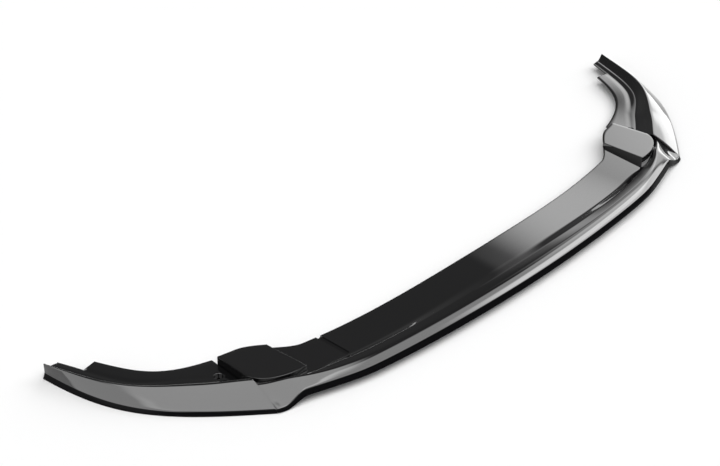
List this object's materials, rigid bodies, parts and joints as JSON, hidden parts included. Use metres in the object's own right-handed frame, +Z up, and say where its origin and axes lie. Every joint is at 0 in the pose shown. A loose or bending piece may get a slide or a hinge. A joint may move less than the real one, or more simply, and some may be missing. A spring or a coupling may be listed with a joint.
{
  "type": "front splitter lip",
  "caption": "Glossy front splitter lip for a road car: bowed centre splitter with a crest, a thin plate and raised end pads, and swept corner wings lapped to its ends.",
  "frame": {"origin": "below the middle of the lip, on the ground that the wings rest on", "axes": "+X across the car to its right-hand end in the model, -Y to the front of the car, +Z up"},
  "size_m": [1.724, 0.4839, 0.0408],
  "materials": {
    "gloss_black": "gloss"
  },
  "bodies": {
    "root": {"centre_splitter": "gloss_black", "left_wing": "gloss_black", "right_wing": "gloss_black"}
  },
  "joints": []
}
